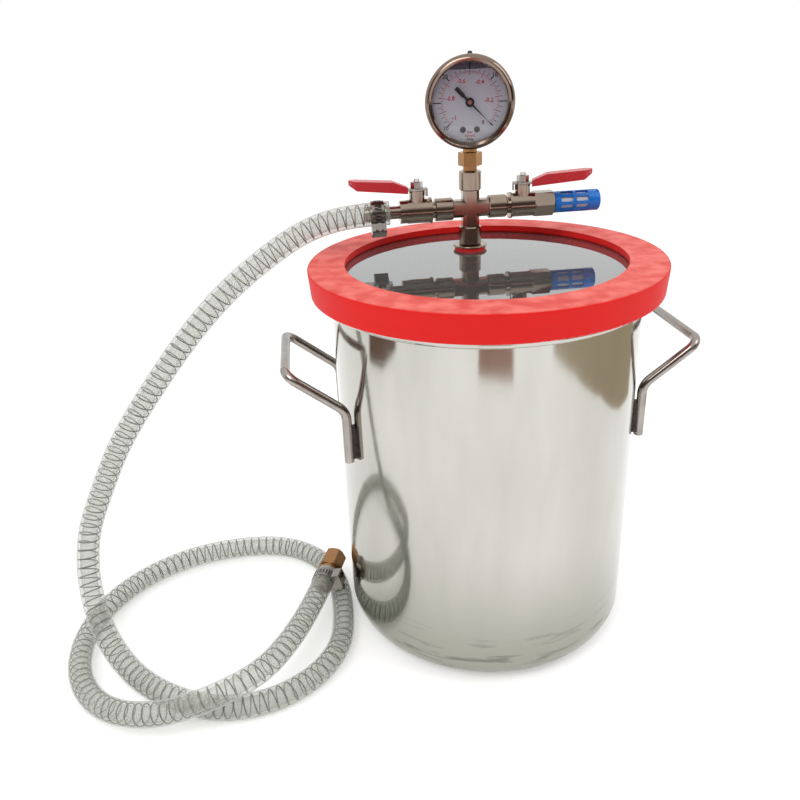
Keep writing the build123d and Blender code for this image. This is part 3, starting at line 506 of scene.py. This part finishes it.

# The case is nearly full of clear oil: a bright line at its level is a painted highlight, and the
# empty space above is dimmed by a tinted sheet of painted shade
LEVEL, SIGHT_R, FILM_T = 23.4, 28.6, 0.1
SPACE_BEHIND, LINE_BEHIND = 0.3 * MM, 0.15 * MM
half = math.acos(LEVEL / SIGHT_R)
turns = [half * (1 - k / 10) for k in range(21)]
bow = [(SIGHT_R * math.sin(turn), SIGHT_R * math.cos(turn)) for turn in turns]
# A tinted sheet over the empty space: painted shade.
space = plate("oil_space_painted_shade", bow, FILM_T, gauge_frame(GLASS_AHEAD - SPACE_BEHIND))
add_piece("oil_space_painted_shade", space, "chamber",
          clear_sheet("oil_space_painted_shade", (0.70, 0.67, 0.70, 1), 0.0, 0.2, 0.1), False)
reach = SIGHT_R * math.sin(half)
# A pale bar at the oil's level: painted highlight.
bar = [(-reach, LEVEL - 0.3), (0, LEVEL - 0.75), (reach, LEVEL - 0.3), (reach, LEVEL + 0.2),
       (0, LEVEL - 0.25), (-reach, LEVEL + 0.2)]
level_highlight = plate("oil_level_highlight", bar, FILM_T, gauge_frame(GLASS_AHEAD - LINE_BEHIND))
add_piece("oil_level_highlight", level_highlight, "chamber",
          finish("oil_level_highlight", rgb(196, 190, 200), 0.0, 0.3), False)

# ---------------------------------------------------------------- hose
# Millimetres: the hose, its bore, its wire, the coil that the wire makes, and its bare ends
HOSE_R, BORE_R, WIRE_R, WIRE_PITCH, COIL_R, WIRE_FROM_END = 9.5, 6.6, 0.55, 7.4, 8.1, 2.5
FAR_END_ALONG = (0.327111, 0.944986, 0)
# Its centre line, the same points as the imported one
HOSE_POINTS = (
    (-66.6, 53, 343.3), (-102, 53, 343.3), (-138, 47.5, 334), (-173, 40, 314),
    (-207, 34, 289), (-239, 29.5, 257), (-273, 25, 216), (-304, 20.5, 175),
    (-328, 17, 129), (-344, 12, 94), (-347, -5, 57), (-336, -31, 27),
    (-313, -62, 9.6), (-281, -95, 9.5), (-237, -119.5, 9.5), (-194, -119, 9.5),
    (-158, -99, 9.5), (-135, -66, 9.5), (-130.5, -22, 9.5), (-133, 24, 9.5),
    (-152, 64, 9.5), (-186, 88, 9.5), (-232, 93, 9.5), (-278, 84, 9.5),
    (-317, 60, 9.5), (-345, 24, 9.5), (-357, -20, 9.5), (-351, -66, 9.5),
    (-326, -104, 10.4), (-285, -126, 17), (-241, -131, 30), (-199, -112, 33),
    (-175, -75, 31), (-156.5, -33, 30.5), (-143, 6, 30.5),
)


def hose_line():
    """The hose's centre line as points close together."""
    curve = bpy.data.curves.new("hose_line", "CURVE")
    curve.dimensions = "3D"
    curve.resolution_u = 12
    spline = curve.splines.new("NURBS")
    spline.points.add(len(HOSE_POINTS) - 1)
    for point, place in zip(spline.points, HOSE_POINTS):
        point.co = (*(v * MM for v in place), 1)
    spline.order_u = 3
    spline.use_endpoint_u = True
    return [v.co.copy() for v in mesh_of(bpy.data.objects.new("hose_line", curve)).vertices]


def along_line(line):
    """Distance from the start to each point."""
    far = [0.0]
    for a, b in zip(line, line[1:]):
        far.append(far[-1] + (b - a).length)
    return far


def coil_points(line, per_turn=18):
    """Points of the wire that winds round the hose's line inside its wall."""
    frames, far = frames_along(line), along_line(line)
    start, end = WIRE_FROM_END * MM, far[-1] - WIRE_FROM_END * MM
    steps = int((end - start) / (WIRE_PITCH * MM) * per_turn)
    points, seg = [], 0
    for step in range(steps + 1):
        at = start + (end - start) * step / steps
        while seg < len(far) - 2 and far[seg + 1] < at:
            seg += 1
        mix = (at - far[seg]) / (far[seg + 1] - far[seg])
        (p, s, o), (q, t, r) = frames[seg], frames[seg + 1]
        here, side, other = p.lerp(q, mix), s.lerp(t, mix).normalized(), o.lerp(r, mix).normalized()
        turn = 2 * math.pi * at / (WIRE_PITCH * MM)
        points.append(here + (side * math.cos(turn) + other * math.sin(turn)) * (COIL_R * MM))
    return points


line = hose_line()
skin_mesh = tube_mesh("hose_skin", line, HOSE_R * MM, 32)
hose = add_piece("hose_skin", skin_mesh, "chamber", FINISHES["clear_hose"])
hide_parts("hose")
bore_mesh = tube_mesh("hose_bore", line, BORE_R * MM, 24)
bore = add_piece("hose_bore", bore_mesh, "chamber", hose_vinyl("hose_bore", 0.20, 0.40))
wire_mesh = tube_mesh("hose_wire", coil_points(line), WIRE_R * MM, 6)
wire = add_piece("hose_wire", wire_mesh, "chamber",
                 finish("hose_wire", rgb(112, 114, 106), 0.7, 0.35, 0.15))

SLOT_COUNT, SLOT_DEPTH, SLOT_W, SLOT_SHARE = 24, 0.2, 1.2, 0.56
# The slots are drawn dark: painted shade in their recesses.
SLOT_PAINTED_SHADE = finish("slot_painted_shade", rgb(30, 27, 25), 0.0, 0.6)


def clamp_slots(name, band, along, through):
    """The slots that the screw's thread runs in, all round the clamp's band, drawn as dark bars of
    painted shade.
    """
    along, through = Vector(along).normalized(), Vector(through) * MM
    side = along.orthogonal().normalized()
    spots = [v.co - through for v in nodes[band].data.vertices]
    ends = [spot.dot(along) for spot in spots]
    reach = max((spot - along * at).length for spot, at in zip(spots, ends)) / MM
    middle = through + along * ((min(ends) + max(ends)) / 2)
    width = (max(ends) - min(ends)) / MM
    bars = bars_round(SLOT_COUNT, 0, 360 / SLOT_COUNT, reach - SLOT_DEPTH / 4, SLOT_DEPTH, SLOT_W,
                      SLOT_PAINTED_SHADE, SLOT_SHARE * width)
    placed = join(name, [bars], axes(side, along.cross(side), along, middle))
    return add_piece(name, placed, "chamber", SLOT_PAINTED_SHADE, False)


clamp_slots("near_clamp_slots", "near_clamp_band", (1, 0, 0), HOSE_POINTS[0])
far_slots = clamp_slots("far_clamp_slots", "far_clamp_band", FAR_END_ALONG, HOSE_POINTS[-1])
round(along_line(line)[-1], 3)


# ---------------------------------------------------------------- studio
FLOOR_Z, CARD_Z = -0.0002, 0.0004


def stage_sheet(name, corners, finish_material):
    """A flat sheet that isn't part of the object."""
    mesh = mesh_from(name, corners, [tuple(range(len(corners)))])
    made = bpy.data.objects.new(name, mesh)
    scene.collection.objects.link(made)
    mesh.materials.append(finish_material)
    return made


def paper(name, colour, glow):
    """Matt, and with some light of its own where it has to stay white."""
    net, surface = material(name)
    return surface(principled(net, Base_Color=colour, Roughness=0.9, Emission_Color=(1, 1, 1, 1),
                              Emission_Strength=glow, Specular_IOR_Level=0.0))


stage_sheet("floor", [(x, y, FLOOR_Z) for x, y in ((-9, -4), (9, -4), (9, 20), (-9, 20))],
            paper("paper", (0.86, 0.86, 0.86, 1), 0.34))
# Dark cards round the table that only show as reflections in the polished wall under the rim
for name, colour, corners in (
    ("card_left", (0.17, 0.10, 0.075, 1),
     ((-730, 110), (-722, -50), (-790, -234), (-1500, -420), (-1500, 240))),
    ("card_front", (0.40, 0.24, 0.19, 1),
     ((-212, -713), (-90, -726), (73, -715), (100, -1500), (-430, -1500))),
    ("card_right", (0.46, 0.38, 0.27, 1),
     ((440, -700), (538, -467), (575, -191), (530, 30), (520, 183), (711, 274), (1500, 600),
      (1500, -1700))),
):
    placed = [(x * MM, y * MM, CARD_Z) for x, y in corners]
    card = stage_sheet(name, placed, paper(name, colour, 0.0))
    card.visible_camera = card.visible_diffuse = card.visible_shadow = False

world = bpy.data.worlds.new("studio")
scene.world = world
world.use_nodes = True
world.node_tree.nodes.clear()
sky = Net(world.node_tree)
direction = sky.val("ShaderNodeTexCoord", output="Generated")
height = sky.split(direction, 2)
ahead = sky.split(direction, 1)
# A white room; in reflections it is dim in front, so that plated parts have contrast
front = ahead.ramp(0.05, -0.45)
high = height.ramp(0.35, 0.8)
dim = front * (1 - high)
seen = sky.val("ShaderNodeLightPath", output="Is Camera Ray")
tone = sky.mix(dim * (1 - seen), (1, 1, 1, 1), (0.12, 0.085, 0.07, 1))
background = sky.node("ShaderNodeBackground", None, {"Color": tone, "Strength": 1.0})
room = sky.node("ShaderNodeOutputWorld")
world.node_tree.links.new(background.outputs[0], room.inputs[0])


def area_light(name, place, aim, size, power):
    data = bpy.data.lights.new(name, "AREA")
    data.shape = "RECTANGLE"
    data.size, data.size_y = size
    data.energy = power
    made = bpy.data.objects.new(name, data)
    scene.collection.objects.link(made)
    made.location = place
    made.rotation_euler = (Vector(aim) - Vector(place)).to_track_quat("-Z", "Y").to_euler()
    return made


area_light("key", (-0.7, -0.9, 1.5), (0, 0, 0.2), (0.8, 0.8), 8)
area_light("fill", (1.0, -0.5, 1.2), (0, 0, 0.25), (0.6, 0.9), 4)

# ---------------------------------------------------------------- camera
eye = Vector((-132.34, -573.21, 469.96)) * MM
right = Vector((0.99185, -0.12041, -0.04156))
above = Vector((0.08758, 0.40776, 0.90888))
forward = Vector((0.09249, 0.90511, -0.41499))
lens = bpy.data.cameras.new("camera")
lens.sensor_width = 36
lens.lens = 34.80
lens.shift_x, lens.shift_y = 0.0060, -0.0081
lens.clip_start = 0.01
camera = bpy.data.objects.new("camera", lens)
scene.collection.objects.link(camera)
camera.matrix_world = axes(right, above, -forward, eye)
scene.camera = camera
scene.view_settings.view_transform = "Standard"
